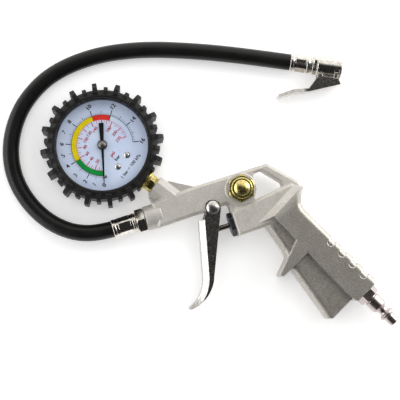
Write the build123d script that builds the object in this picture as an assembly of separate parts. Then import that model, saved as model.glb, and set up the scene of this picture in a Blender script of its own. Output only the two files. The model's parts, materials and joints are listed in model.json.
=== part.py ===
from build123d import *
import math
import os

# Tyre inflator with gauge, lying on its side.
# Drafted in the gun's own frame: origin at the trigger pivot on the gun's mid-plane, +X rearward
# along the barrel, +Y away from the trigger in the gun's plane, +Z out of the side that shows.
# At the end every piece is moved so that the origin is on the surface the tool lies on, under
# the middle of the gun and gauge.

# ---------------------------------------------------------------- driving dimensions, millimetres
BARREL_Y = 7.3  # height of the air bore above the trigger pivot
HALF_BARREL = 8.0  # half thickness of the barrel and window frame
HALF_BLOCK = 9.5  # half thickness of the valve block
HALF_GRIP = 13.0  # half thickness of the grip panel, which the tool lies on
HALF_GRIP_FRONT = 9.5  # half thickness of the recessed grip front
MOUTH_X = -48.0  # outlet face of the barrel
MOUTH_R = 8.95
SOCKET_R = 6.2  # threaded sockets, as plain holes
AIR_R = 3.5  # drilled air passages
EASE = 0.05  # running clearance on a radius
GAP = 0.15  # gap between faces that slide past each other

BOSS_FACE = (-34.6, 28.0)
BOSS_ANGLE = 125.0  # direction of the gauge stem from the barrel, degrees
GAUGE_REACH = 46.8  # boss face to gauge centre
GAUGE_CENTRE = (
    BOSS_FACE[0] + GAUGE_REACH * math.cos(math.radians(BOSS_ANGLE)),
    BOSS_FACE[1] + GAUGE_REACH * math.sin(math.radians(BOSS_ANGLE)),
)

VALVE_Y = -15.5  # axis of the air valve, which the trigger pushes
VALVE_R = 5.6  # valve chamber radius
ROD_R = 2.0
BLOCK_X = 11.6  # front face of the valve block
SEAT_X = 27.0

BLEED = (23.4, 6.6)  # centre of the air-release valve
PAD_TOP = 9.2

PLUG_FACE = (86.15, -90.85)
PLUG_ANGLE = -62.6

PIN_R = 2.0
CHEEK_IN = 8.15  # inner face of the trigger's cheeks
CHEEK_OUT = 9.65

HOSE_R = 6.0
HOSE_BORE_R = 3.0
CHUCK_START = (88.2, 85.0)
CHUCK_ANGLE = -25.5
CHUCK_R = 7.7
CHUCK_Z = CHUCK_R - HALF_GRIP  # the chuck lies on the surface too
HOSE_Z = HOSE_R - HALF_GRIP
CLIP_PIN = (22.8, -8.0)  # along and across the chuck's axis
CHUCK_NOSE = 38.2  # mouth of the chuck, along its axis
VALVE_BORE_R = 4.1  # takes the stem of a tyre valve
VALVE_BORE_LENGTH = 6.0
CHAMBER_R = 4.5  # wider chamber behind the valve bore, which holds the seal

# Hose centre line: route points, straight runs joined by tangent arcs.
HOSE_ROUTE = [
    (-61.0, BARREL_Y, 0.0),
    (-79.5, BARREL_Y, 0.0),
    (-97.9, 12.5, -1.6),
    (-112.6, 24.4, -3.8),
    (-123.2, 41.5, -5.8),
    (-128.5, 62.1, HOSE_Z),
    (-126.4, 82.3, HOSE_Z),
    (-117.5, 101.3, HOSE_Z),
    (-103.1, 117.1, HOSE_Z),
    (-80.0, 129.5, HOSE_Z),
    (-48.1, 132.9, HOSE_Z),
    (-14.5, 127.5, HOSE_Z),
    (20.4, 115.6, HOSE_Z),
    (58.1, 99.36, CHUCK_Z),
    (95.2, 81.66, CHUCK_Z),
]

parts = {}


# ---------------------------------------------------------------- helpers
def outline(points):
    """Closed flat face in the XY plane from its corner points."""
    return make_face(Polyline(*points, close=True))


def prism(points, low, high):
    """Closed outline in the side plane, extruded from z = low to z = high."""
    return extrude(Pos(0, 0, low) * outline(points), amount=high - low, dir=(0, 0, 1))


def slab(points, half):
    """Closed outline extruded to the same distance on both sides of the mid-plane."""
    return prism(points, -half, half)


def axis_frame(start, direction):
    """Plane whose z axis runs along the direction."""
    return Plane(origin=start, z_dir=direction)


def rod(start, direction, radius, length):
    """Round bar from its start point."""
    base = Cylinder(radius, length, align=(Align.CENTER, Align.CENTER, Align.MIN))
    return axis_frame(start, direction) * base


def tube(start, direction, outer, inner, length):
    """Round sleeve from its start point."""
    return rod(start, direction, outer, length) - rod(start, direction, inner, length)


def turned(profile, start, direction):
    """Solid of revolution from (distance along the axis, radius) corners."""
    section = make_face(Polyline(*[(radius, 0, along) for along, radius in profile], close=True))
    return axis_frame(start, direction) * revolve(section, axis=Axis.Z)


def cap(start, direction, radius, height):
    """Shallow spherical dome on a round base."""
    ball = (radius**2 + height**2) / (2 * height)
    blank = Cylinder(radius, height, align=(Align.CENTER, Align.CENTER, Align.MIN))
    return axis_frame(start, direction) * (blank & (Pos(0, 0, height - ball) * Sphere(ball)))


def hexagon(start, direction, across_flats, length, turn=0):
    """Hexagonal prism from its start point."""
    flat = RegularPolygon(across_flats / 2, 6, major_radius=False, rotation=turn)
    return axis_frame(start, direction) * extrude(flat, amount=length)


def domed_nut(start, direction, across_flats, length, turn=0):
    """Hexagon with its outer corners turned off at both ends."""
    corner = across_flats / math.sqrt(3)
    ease = 0.12 * corner
    body = hexagon(start, direction, across_flats, length, turn)
    turned_blank = turned(
        [(0, 0), (0, corner - ease), (ease * 0.6, corner), (length - ease * 0.6, corner),
         (length, corner - ease), (length, 0)],
        start, direction,
    )
    return body & turned_blank


def coil(start, direction, mean_radius, wire_radius, length, turns):
    """Helical spring whose wire centre runs the given length."""
    path = Helix(pitch=length / turns, height=length, radius=mean_radius)
    section = Plane(origin=path @ 0, z_dir=path % 0) * Circle(wire_radius)
    return axis_frame(start, direction) * sweep(section, path=path, is_frenet=True)


def edges_along_z(solid, *corners):
    """Edges parallel to z that stand on the given corner points."""
    return ShapeList([
        edge for edge in solid.edges().filter_by(Axis.Z)
        if any(math.hypot(edge.center().X - x, edge.center().Y - y) < 0.05 for x, y in corners)
    ])


def face_edges(solid, z):
    """All edges that lie in the plane at height z."""
    return ShapeList([
        edge for edge in solid.edges()
        if abs(edge.bounding_box().min.Z - z) < 1e-3 and abs(edge.bounding_box().max.Z - z) < 1e-3
    ])


def rim_edges(solid, corners, half):
    """Edges of both side faces that run between consecutive corner points."""
    middles = [((a[0] + b[0]) / 2, (a[1] + b[1]) / 2) for a, b in zip(corners, corners[1:])]
    flat = face_edges(solid, half) + face_edges(solid, -half)
    return ShapeList([
        edge for edge in flat
        if any(math.hypot((edge @ 0.5).X - x, (edge @ 0.5).Y - y) < 1.6 for x, y in middles)
    ])


def heading(angle):
    """Unit vector in the side plane at an angle in degrees."""
    return (math.cos(math.radians(angle)), math.sin(math.radians(angle)), 0)


def along(start, angle, distance, z=0.0):
    """Point at a distance from a start point in the side plane."""
    step = heading(angle)
    return (start[0] + step[0] * distance, start[1] + step[1] * distance, z)


# ---------------------------------------------------------------- gun body casting
GRIP_FRONT = [
    (32.5, -24.0), (38.6, -44.0), (40.4, -59.4), (53.4, -100.6), (57.2, -101.4), (75.5, -92.0),
    (72.0, -60.0), (58.0, -18.0), (36.0, -16.0),
]
PLUG_SEAT = [along(PLUG_FACE, PLUG_ANGLE + 90, 7.2)[:2], along(PLUG_FACE, PLUG_ANGLE + 90, -7.2)[:2]]
SLOPE_LOW = (26.5, -20.9)  # foot of the slope from the panel down to the valve block
SLOPE_HIGH = (60.4, -1.9)
SLOPE_DROP = 3.7
SLOPE_SINE = 0.598
SLOPE_COSINE = 0.802
HOOK = (60.3, -18.2)  # inner corner between the frame and the grip's back edge
HEEL = (95.0, -84.7)
SPUR_TIP = [(32.6, -62.2), (30.0, -61.0)]
PLUG_CORNER = (77.3, -95.2)
PANEL = [
    SLOPE_LOW, SLOPE_HIGH, (65.7, -5.5), HOOK, HEEL, *PLUG_SEAT, PLUG_CORNER, (73.8, -90.7),
    (54.4, -51.2), *SPUR_TIP, (49.6, -40.2), (39.6, -19.4),
]
GROOVE_DEPTH = 1.3
WINDOW = [(35.6, 14.9), (42.2, 15.1), (53.2, 2.6), (53.2, -0.7), (30.6, -3.9)]


def barrel_and_frame():
    """Flat-sided barrel that runs back into the frame round the hanging window."""
    frame = slab(
        [(-41.0, 17.1), (-6.0, 18.6), (46.9, 18.6), (64.6, -0.3), (67.1, -5.6), (62.7, -10.8),
         (40.0, -22.0), (14.0, -22.0), (14.0, -5.0), (10.4, -0.7), (-41.0, -1.7)],
        HALF_BARREL,
    )
    frame = fillet(edges_along_z(frame, (46.9, 18.6), (64.6, -0.3)), 2.0)
    frame = chamfer(face_edges(frame, HALF_BARREL) + face_edges(frame, -HALF_BARREL), 1.9)
    window = slab(WINDOW, HALF_BARREL + 1)
    window = fillet(window.edges().filter_by(Axis.Z), 1.6)
    frame = frame - window
    rims = ShapeList([
        edge for edge in face_edges(frame, HALF_BARREL) + face_edges(frame, -HALF_BARREL)
        if 30 < edge.center().X < 54 and -4.2 < edge.center().Y < 15.3
        and Vector(edge.center().X - 43, edge.center().Y - 6, 0).length < 14.5
    ])
    frame = fillet(rims, 0.8)
    mouth = rod((MOUTH_X, BARREL_Y, 0), (1, 0, 0), MOUTH_R, 12)
    mouth = chamfer(mouth.faces().sort_by(Axis.X)[0].edges(), 0.5)
    pivot_lug = rod((0, 0, -HALF_BARREL), (0, 0, 1), 4.4, 2 * HALF_BARREL)
    pad_start = PAD_TOP - 5.2
    pad = turned([(0, 0), (0, 11.5), (4.7, 11.5), (5.2, 11.0), (5.2, 0)], (*BLEED, pad_start), (0, 0, 1))
    return frame + mouth + pivot_lug + (pad - window)


def gauge_boss():
    """Octagonal boss that carries the gauge stem, with a thin web to the barrel on each side."""
    half_wide = 7.65
    half_deep = 8.0
    cut = 4.6
    section = outline([
        (-half_wide + cut, -half_deep), (half_wide - cut, -half_deep), (half_wide, -half_deep + cut),
        (half_wide, half_deep - cut), (half_wide - cut, half_deep), (-half_wide + cut, half_deep),
        (-half_wide, half_deep - cut), (-half_wide, -half_deep + cut),
    ])
    face = Plane(origin=(*BOSS_FACE, 0), x_dir=(0.819152, 0.573576, 0), z_dir=heading(BOSS_ANGLE - 180))
    boss = face * extrude(section, amount=22)
    boss = chamfer(boss.faces().sort_by(Axis((*BOSS_FACE, 0), heading(BOSS_ANGLE)))[-1].edges(), 0.5)
    rear_web = slab([(-24.4, 28.6), (-6.7, 18.4), (-6.7, 14), (-26, 14)], 1.8)
    front_web = slab([(-41.3, 21.5), (-40.6, 16.0), (-30, 14), (-30, 24)], 1.8)
    return boss + rear_web + front_web


def valve_block():
    """Block below the barrel that holds the air valve, running back into the hook."""
    block = slab(
        [(BLOCK_X, -8.0), (14.3, -6.2), (60.0, -0.5), (62.5, -10.8), (61.2, -19.4), (45.0, -26.0),
         (32.4, -24.4), (BLOCK_X, -24.9)],
        HALF_BLOCK,
    )
    block = fillet(face_edges(block, HALF_BLOCK) + face_edges(block, -HALF_BLOCK), 2.2)
    neck_corners = [(BLOCK_X, -24.0), (BLOCK_X, -2.4), (16.0, 0.0), (22.0, -2.0), (22.0, -12.0)]
    neck = slab(neck_corners, HALF_BARREL - 1)
    return block + neck


def on_back(point):
    """Whether a point of the panel's rim is on the hooked back edge, above the plug's face."""
    return -84 < point.Y < -6 and point.X > 58 and point.X - 58 > (-17 - point.Y) * 0.4


def grip():
    """Grip: a thick rear panel with a finger spur, and a thinner rounded front."""
    front = slab(GRIP_FRONT, HALF_GRIP_FRONT)
    front = fillet(rim_edges(front, GRIP_FRONT[:4], HALF_GRIP_FRONT), 4.4)
    panel = slab(PANEL, HALF_GRIP)
    panel = fillet(edges_along_z(panel, HOOK), 9.0)
    rims = face_edges(panel, HALF_GRIP) + face_edges(panel, -HALF_GRIP)
    panel = fillet(ShapeList([edge for edge in rims if on_back(edge @ 0.5)]), 4.4)
    panel = fillet(edges_along_z(panel, *SPUR_TIP), 1.1)
    panel = fillet(edges_along_z(panel, PLUG_CORNER), 1.6)
    return front, panel


def build_casting():
    """Body casting with its drilled passages and sockets."""
    front, panel = grip()
    panel = bevel_panel_top(panel)
    panel = cut_finger_grooves(panel)
    body = barrel_and_frame() + gauge_boss() + valve_block() + front + panel
    return drill_passages(body)


def bevel_panel_top(panel):
    """Slope from the panel down to the valve block on both sides."""
    low = Vector(*SLOPE_LOW, 0)
    run = (Vector(*SLOPE_HIGH, 0) - low).normalized()
    across = Vector(-run.Y, run.X, 0)
    cutter = Box(120, 120, 20, align=(Align.CENTER, Align.CENTER, Align.MIN))
    for side in (1, -1):
        tilt = across * SLOPE_SINE + Vector(0, 0, side) * SLOPE_COSINE
        origin = low + Vector(0, 0, side * (HALF_GRIP - SLOPE_DROP))
        panel = panel - Plane(origin=tuple(origin), x_dir=tuple(run), z_dir=tuple(tilt)) * cutter
    return panel


def cut_finger_grooves(panel):
    """Shallow U-ended grooves that wrap round the grip's back edge."""
    first = Vector(69.9, -51.0, 0)
    last = Vector(85.0, -80.0, 0)
    down = (last - first).normalized()
    outward = Vector(-down.Y, down.X, 0)
    top = Vector(*HOOK, 0) - outward * GROOVE_DEPTH
    bottom = Vector(*HEEL, 0) - outward * GROOVE_DEPTH
    core_corners = [(40, -30), (top.X, top.Y), (bottom.X, bottom.Y), (70, -92)]
    core = slab(core_corners, HALF_GRIP - GROOVE_DEPTH)
    core = fillet(rim_edges(core, core_corners[1:3], HALF_GRIP - GROOVE_DEPTH), 3.3)
    for index in range(4):
        foot = first + down * (index * (last - first).length / 3) + outward * 2.75
        slot = rod((foot.X, foot.Y, -20), (0, 0, 1), 2.75, 40)
        lane = Box(20, 5.5, 40, align=(Align.MIN, Align.CENTER, Align.CENTER))
        slot = slot + Plane(origin=tuple(foot), x_dir=tuple(outward), z_dir=(0, 0, 1)) * lane
        panel = panel - (slot - core)
    return panel


def drill_passages(body):
    """Air bores, the valve chamber and the threaded sockets."""
    body -= rod((MOUTH_X - 1, BARREL_Y, 0), (1, 0, 0), SOCKET_R, 12)
    body -= rod((MOUTH_X, BARREL_Y, 0), (1, 0, 0), AIR_R, 75)
    inward = heading(BOSS_ANGLE - 180)
    body -= rod(along(BOSS_FACE, BOSS_ANGLE, 1), inward, 5.2, 13)
    body -= rod((*BOSS_FACE, 0), inward, 2.6, 25)
    body -= rod((*BLEED, 3.4), (0, 0, 1), SOCKET_R, 10)
    body -= rod((*BLEED, 0), (0, 0, 1), 3.4, 8)
    body -= rod((BLOCK_X - 1, VALVE_Y, 0), (1, 0, 0), VALVE_R, 43.4)
    body -= rod((24.0, VALVE_Y, 0), (0, 1, 0), 2.6, BARREL_Y - VALVE_Y)
    inlet = heading(PLUG_ANGLE + 180)
    body -= rod(along(PLUG_FACE, PLUG_ANGLE, 1), inlet, SOCKET_R, 13)
    body -= rod((*PLUG_FACE, 0), inlet, AIR_R, 80)
    body -= rod((0, 0, -20), (0, 0, 1), PIN_R + EASE, 40)
    return body


parts["body_casting"] = build_casting()


# ---------------------------------------------------------------- trigger and its pin
TRIGGER_TOP = (-12.8, -8.0)
TRIGGER_BEND = (-21.6, -44.5)
TRIGGER_TIP = (-37.1, -64.4)
BEVEL_WIDE = 4.2  # slope between the trigger's front and each cheek
BEVEL_DEEP = 3.0
LEVER_LENGTH = 40.0  # straight part, and a little over


def trigger_profile():
    """Side outline of the trigger: eye at the pivot, long lever, curled tip."""
    shank = (-14.0, -46.5)
    tip_front = (TRIGGER_TIP[0] + 0.2, TRIGGER_TIP[1] + 2.2)
    front = Line(TRIGGER_TOP, TRIGGER_BEND)
    edges = [
        Line((5.6, -1.6), shank),
        ThreePointArc(shank, (-22.0, -58.2), TRIGGER_TIP),
        ThreePointArc(TRIGGER_TIP, (TRIGGER_TIP[0] - 1.0, TRIGGER_TIP[1] + 1.1), tip_front),
        TangentArc([TRIGGER_BEND, tip_front], tangent=front % 1),
        front,
        Line(TRIGGER_TOP, (-12.3, -5.9)),
        Line((-12.3, -5.9), (-9.0, -6.4)),
        Line((-9.0, -6.4), (-5.6, -1.2)),
        Line((-5.6, -1.2), (5.6, -1.6)),
    ]
    lever = make_face(Wire(edges))
    return lever + Circle(5.75)


def sloped_lever(half):
    """Lever of a given half thickness whose cheeks slope down to the front, straight and curled parts."""
    lever = extrude(Pos(0, 0, -half) * trigger_profile(), amount=2 * half, dir=(0, 0, 1))
    bend = Vector(*TRIGGER_BEND, 0)
    run = (bend - Vector(*TRIGGER_TOP, 0)).normalized()
    inward = Vector(-run.Y, run.X, 0)
    chord = Vector(TRIGGER_TIP[0] + 0.2, TRIGGER_TIP[1] + 2.2, 0) - bend
    curl_r = chord.length**2 / (-2 * chord.dot(inward))
    curl_centre = bend - inward * curl_r
    spare = 2.0  # how far the cutters pass the lever, as a multiple of the slope
    far = (spare * BEVEL_WIDE, spare * BEVEL_DEEP)
    wedge = outline([(-BEVEL_WIDE, -BEVEL_DEEP), far, (-BEVEL_WIDE, far[1])])
    cone = Cone(curl_r, curl_r + spare * BEVEL_WIDE, spare * BEVEL_DEEP,
                align=(Align.CENTER, Align.CENTER, Align.MIN))
    foot = half - BEVEL_DEEP
    for side in (1, -1):
        place = Plane(origin=tuple(bend + Vector(0, 0, side * foot)), x_dir=tuple(inward),
                      z_dir=tuple(run * side))
        cut = place * extrude(wedge, amount=-side * LEVER_LENGTH)
        curl = Pos(curl_centre.X, curl_centre.Y, foot) * cone
        lever = lever - cut - (curl if side == 1 else mirror(curl, about=Plane.XY))
    return lever


def build_trigger():
    """Bent channel: two cheeks joined by a front web with sloped sides, open towards the grip."""
    blank = sloped_lever(CHEEK_OUT)
    hollow = Pos(1.9, -0.4, 0) * sloped_lever(CHEEK_IN)
    head_room = slab([(-9.6, -7.4), (-12.9, -5.4), (-12.9, 8.0), (9.0, 8.0), (9.0, -7.4)], CHEEK_IN)
    channel = blank - hollow - head_room
    return channel - rod((0, 0, -20), (0, 0, 1), PIN_R + EASE, 40)


parts["trigger"] = build_trigger()
PIN_LOW = -11.4  # end of the pin on the far side
PIN_HEAD = CHEEK_OUT + GAP
PIN_HEAD_R = 4.75
pin = turned(
    [(0, 0), (0, 1.7), (0.3, PIN_R), (0.8, PIN_R), (0.8, 1.5), (1.5, 1.5), (1.5, PIN_R),
     (PIN_HEAD - PIN_LOW, PIN_R), (PIN_HEAD - PIN_LOW, PIN_HEAD_R), (PIN_HEAD + 0.4 - PIN_LOW, PIN_HEAD_R),
     (PIN_HEAD + 0.4 - PIN_LOW, 0)],
    (0, 0, PIN_LOW), (0, 0, 1),
)
parts["trigger_pin"] = pin + cap((0, 0, PIN_HEAD + 0.4), (0, 0, 1), PIN_HEAD_R, 1.9)
clip_blank = tube((0, 0, PIN_LOW + 0.85), (0, 0, 1), 4.0, 1.55, 0.6)
parts["pin_clip"] = clip_blank - Pos(3, 0, PIN_LOW + 1) * Box(6, 2.4, 4)


# ---------------------------------------------------------------- air valve worked by the trigger
def build_gland():
    """Black hexagon screwed into the block, with a recess for the rod seal behind it."""
    head = domed_nut((8.1, VALVE_Y, 0), (1, 0, 0), 15.2, 3.5, 30)
    thread = rod((BLOCK_X, VALVE_Y, 0), (1, 0, 0), VALVE_R, 8)
    gland = head + thread - rod((BLOCK_X + 5.2, VALVE_Y, 0), (1, 0, 0), 4.5, 4)
    return gland - rod((0, VALVE_Y, 0), (1, 0, 0), ROD_R + EASE, 30)


ROD_TIP = -12.4
POPPET_X = SEAT_X + 3.65
parts["gland_nut"] = build_gland()
parts["plunger_seal"] = axis_frame((BLOCK_X + 6.6, VALVE_Y, 0), (1, 0, 0)) * Torus(3.27, 1.2)
parts["valve_seat"] = turned(
    [(0, 2.9), (0, VALVE_R), (2.6, VALVE_R), (2.6, 3.9), (3.0, 3.7), (3.0, 2.9)],
    (SEAT_X, VALVE_Y, 0), (1, 0, 0),
)
rod_blank = rod((ROD_TIP, VALVE_Y, 0), (1, 0, 0), ROD_R, POPPET_X + 2.5 - ROD_TIP)
parts["plunger_pin"] = fillet(rod_blank.faces().sort_by(Axis.X)[0].edges(), 1.9)
parts["poppet_seal"] = tube((SEAT_X + 3.05, VALVE_Y, 0), (1, 0, 0), 4.3, ROD_R, 0.6)
parts["valve_poppet"] = turned(
    [(0, ROD_R), (0, 4.3), (3.6, 4.3), (4.2, 4.0), (4.2, 2.7), (7.5, 2.5), (7.5, 0), (2.5, 0), (2.5, ROD_R)],
    (POPPET_X, VALVE_Y, 0), (1, 0, 0),
)
parts["valve_spring"] = coil((POPPET_X + 4.9, VALVE_Y, 0), (1, 0, 0), 3.5, 0.45, 17.0, 7)


# ---------------------------------------------------------------- air-release valve under the brass dome
BUTTON_R = 7.7
DOME_R = 5.6
BUTTON_Z = 13.6  # underside of the dome
STEM_R = 1.6


def build_bleed():
    """Brass hexagon, pressed dome, and the stem that hangs from the dome."""
    nut = domed_nut((*BLEED, PAD_TOP + 0.5), (0, 0, 1), 17.6, 4.4, 12)
    nut += rod((*BLEED, PAD_TOP), (0, 0, 1), 7.3, 0.5)
    nut += rod((*BLEED, 4.2), (0, 0, 1), SOCKET_R - EASE, 5.2)
    nut -= rod((*BLEED, 11.4), (0, 0, 1), BUTTON_R + 0.25, 8)
    nut -= rod((*BLEED, 7.2), (0, 0, 1), 4.0, 8)
    nut -= rod((*BLEED, 0), (0, 0, 1), 2.3, 20)
    skirt = rod((*BLEED, BUTTON_Z), (0, 0, 1), BUTTON_R, 2.5)
    skirt = fillet(skirt.faces().sort_by(Axis.Z)[-1].edges(), 1.1)
    button = skirt + rod((*BLEED, BUTTON_Z + 2.4), (0, 0, 1), DOME_R, 0.8)
    button += cap((*BLEED, BUTTON_Z + 3.2), (0, 0, 1), DOME_R, 2.2)
    return nut, button + rod((*BLEED, 2.0), (0, 0, 1), STEM_R, BUTTON_Z - 1.5)


parts["bleed_valve_nut"], parts["bleed_button"] = build_bleed()
parts["bleed_gasket"] = tube((*BLEED, PAD_TOP), (0, 0, 1), 8.6, 7.35, 0.45)
parts["bleed_spring"] = coil((*BLEED, 7.65), (0, 0, 1), 3.2, 0.35, 5.5, 4)
parts["bleed_seal"] = tube((*BLEED, 3.2), (0, 0, 1), 3.0, STEM_R, 0.9)
parts["bleed_poppet"] = tube((*BLEED, 2.1), (0, 0, 1), 3.0, STEM_R, 1.1)

# ---------------------------------------------------------------- inlet plug
plug_dir = heading(PLUG_ANGLE)
plug_start = along(PLUG_FACE, PLUG_ANGLE, 0.6)
plug = domed_nut(plug_start, plug_dir, 14.0, 5.4, 0)
plug += turned(
    [(0, 0), (0, 5.6), (5.4, 5.6), (5.4, 5.0), (6.4, 5.0), (7.0, 5.75), (14.4, 5.75), (15.0, 5.2),
     (17.0, 3.4), (17.6, 3.25), (19.4, 3.25), (20.2, 3.6), (21.2, 5.3), (21.7, 5.55), (22.6, 5.55),
     (23.2, 5.2), (24.0, 3.95), (30.2, 3.95), (30.6, 3.6), (30.6, 0)],
    plug_start, plug_dir,
)
plug += rod(plug_start, heading(PLUG_ANGLE + 180), SOCKET_R - EASE, 10.5)
plug -= rod(along(PLUG_FACE, PLUG_ANGLE, -12), plug_dir, 2.3, 50)
parts["inlet_plug"] = plug
parts["inlet_gasket"] = tube((*PLUG_FACE, 0), plug_dir, 6.9, SOCKET_R + EASE, 0.6)

# ---------------------------------------------------------------- gauge
# Drawn with the stem pointing towards -Y, then turned to the stem's real direction.
CASE_BACK = -11.0
CASE_TOP = 12.6
CASE_R = 33.8
CASE_WALL = 1.1
WINDOW_R = 33.1  # opening in the front of the boot
RING_R = 35.0  # outside of the lens ring
BOOT_R = 39.0
TALL_R = 43.9  # ribs, over their tips
SHORT_R = 41.1
RIB_STEP = 22.5  # between two tall ribs, degrees
STEM_REACH = GAUGE_REACH + 10.0
NECK_R = 5.0  # stem between the hexagon and the tube block
COLLAR_R = 7.95
DIAL_Z = 8.0
SHAFT_R = 0.75
PIVOT = (-9.5, -13.4)  # sector pivot
CENTRE_DISTANCE = math.hypot(*PIVOT)
PINION_TEETH = 10
GEAR_RATIO = 10
MODULE = 2 * CENTRE_DISTANCE / (PINION_TEETH * (1 + GEAR_RATIO))
TAIL = (PIVOT[0] - 3.5, PIVOT[1] + 5.5)
TUBE_R = 25.0
TUBE_END = 201.0  # direction of the bourdon tube's tip
TIP_PIN = (-18.55, -8.1)  # pin on the tube's tip lug, where the link's slot sits


def polar(radius, angle):
    """Point in the gauge's plane at a radius and an angle in degrees."""
    return (radius * math.cos(math.radians(angle)), radius * math.sin(math.radians(angle)))


def ring_sector(inner, outer, start, end, low, high):
    """Part of a flat ring between two angles."""
    middle = (start + end) / 2
    edges = [
        ThreePointArc(polar(outer, start), polar(outer, middle), polar(outer, end)),
        Line(polar(outer, end), polar(inner, end)),
        ThreePointArc(polar(inner, end), polar(inner, middle), polar(inner, start)),
        Line(polar(inner, start), polar(outer, start)),
    ]
    return extrude(Pos(0, 0, low) * make_face(Wire(edges)), amount=high - low, dir=(0, 0, 1))


def gauge_case():
    """Pressed steel cup with a hole in its side for the stem."""
    depth = CASE_TOP - CASE_BACK
    inner = CASE_R - CASE_WALL
    cup = turned(
        [(0, 0), (0, CASE_R - 1.5), (1.5, CASE_R), (depth, CASE_R), (depth, inner), (CASE_WALL, inner),
         (CASE_WALL, 0)],
        (0, 0, CASE_BACK), (0, 0, 1),
    )
    return cup - rod((0, -20, 0), (0, -1, 0), NECK_R + EASE, 30)


def boot_rib(profile, root, tip):
    """Rib that is thicker at its root, from (radius, height) corners."""
    section = make_face(Polyline(*[(radius, 0, height) for radius, height in profile], close=True))
    blank = extrude(Pos(0, root, 0) * section, amount=2 * root, dir=(0, -1, 0))
    return blank & prism([(30, -root), (44, -tip), (44, tip), (30, root)], -20, 30)


def gauge_boot():
    """Rubber boot round the case with tall and short ribs on its rim and over its front edge."""
    boot = turned(
        [(0, 0), (0, BOOT_R - 2.6), (2.6, BOOT_R), (26.5, BOOT_R), (29.2, BOOT_R - 1.8), (30.6, BOOT_R - 3.8),
         (30.8, BOOT_R - 4.6), (30.4, WINDOW_R), (28.9, WINDOW_R), (28.9, RING_R + 0.1), (2.0, RING_R + 0.1),
         (2.0, 0)],
        (0, 0, -HALF_GRIP), (0, 0, 1),
    )
    tall = boot_rib(
        [(35.6, -12.4), (TALL_R - 0.9, -12.4), (TALL_R, -11.2), (TALL_R, 13.6), (TALL_R - 1.3, 16.2),
         (TALL_R - 3.9, 18.4), (36.4, 18.8), (35.6, 18.0)],
        2.1, 1.6,
    )
    short = boot_rib(
        [(35.6, -12.4), (SHORT_R - 0.9, -12.4), (SHORT_R, -11.2), (SHORT_R, 13.4), (SHORT_R - 1.2, 15.8),
         (SHORT_R - 3.2, 17.6), (35.6, 17.6)],
        1.7, 1.3,
    )
    for index in range(16):
        angle = -90 + index * RIB_STEP
        if index > 0:
            boot += Rot(0, 0, angle) * tall
        boot += Rot(0, 0, angle + RIB_STEP / 2) * short
    return boot - rod((0, -30, 0), (0, -1, 0), COLLAR_R + 0.2, 20)


def gauge_stem():
    """Brass stem: thread in the boss, flange, hexagon, collar, and the block that holds the bourdon tube."""
    reach = -STEM_REACH
    stem = rod((0, reach, 0), (0, 1, 0), 5.15, 10.2)
    stem += rod((0, -GAUGE_REACH, 0), (0, 1, 0), NECK_R, 20)
    stem += turned([(0, 0), (0, 6.4), (0.8, 6.4), (1.6, 5.2), (1.6, 0)], (0, -GAUGE_REACH, 0), (0, 1, 0))
    stem += hexagon((0, 0.8 - GAUGE_REACH, 0), (0, 1, 0), 10.8, 4.2, 15)
    collar = [(0, 0), (0, 5.6), (0.8, 6.2), (1.9, 7.5), (2.6, COLLAR_R), (4.6, COLLAR_R), (5.2, 7.3),
              (5.2, 0)]
    stem += turned(collar, (0, -42.6, 0), (0, 1, 0))
    stem += Pos(0, -24.5, -0.3) * Box(11.0, 7.0, 10.6)
    stem -= rod((0, reach, 0), (0, 1, 0), 2.0, 36)
    stem -= ring_sector(TUBE_R - 1.15, TUBE_R + 1.15, -88, -70, -4.6, 4.6)
    return stem


def bourdon_tube():
    """Flattened tube bent to an open ring, closed by a small tip that carries the link pin."""
    ring = ring_sector(TUBE_R - 1.1, TUBE_R + 1.1, -87, TUBE_END, -4.5, 4.5)
    lug = Rot(0, 0, TUBE_END) * Pos(TUBE_R - 3.0, 0.9, -1.8) * Box(7.6, 1.8, 2.2)
    tip_pin = rod((*TIP_PIN, -1.8), (0, 0, 1), 0.5, 3.8)
    return ring + lug + tip_pin


def sector_gear():
    """Bell crank: a toothed quadrant that drives the pinion, and a tail pulled by the link."""
    pitch_r = MODULE * PINION_TEETH * GEAR_RATIO / 2
    towards = math.degrees(math.atan2(-PIVOT[1], -PIVOT[0]))
    tooth = 360 / (PINION_TEETH * GEAR_RATIO)
    quadrant = ring_sector(pitch_r - 2.2, pitch_r - 0.42, towards - 34, towards + 7, -1.6, -0.6)
    for side in (towards - 31, towards + 4):
        arm = prism([(-0.6, 0), (0.6, 0), (0.6, pitch_r - 1.0), (-0.6, pitch_r - 1.0)], -1.6, -0.6)
        quadrant += Rot(0, 0, side - 90) * arm
    half_foot = 0.30
    half_tip = 0.16
    for index in range(-9, 2):
        angle = towards + (index + 0.5) * tooth
        shape = prism(
            [(pitch_r - 0.7, -half_foot), (pitch_r + 0.14, -half_tip), (pitch_r + 0.14, half_tip),
             (pitch_r - 0.7, half_foot)],
            -1.6, -0.6,
        )
        quadrant += Rot(0, 0, angle) * shape
    quadrant += prism([(0.9, 0.3), (-0.9, -0.5), (-4.1, 4.9), (-2.7, 5.9)], -1.6, -0.6)
    quadrant += rod((-3.5, 5.5, -1.6), (0, 0, 1), 1.1, 1.0)
    quadrant += rod((0, 0, -7.0), (0, 0, 1), 0.8, 13.6)
    quadrant += rod((0, 0, -3.0), (0, 0, 1), 1.5, 5.0)
    quadrant += rod((-3.5, 5.5, -1.6), (0, 0, 1), 0.45, 3.2)
    return Pos(*PIVOT, 0) * quadrant


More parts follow.
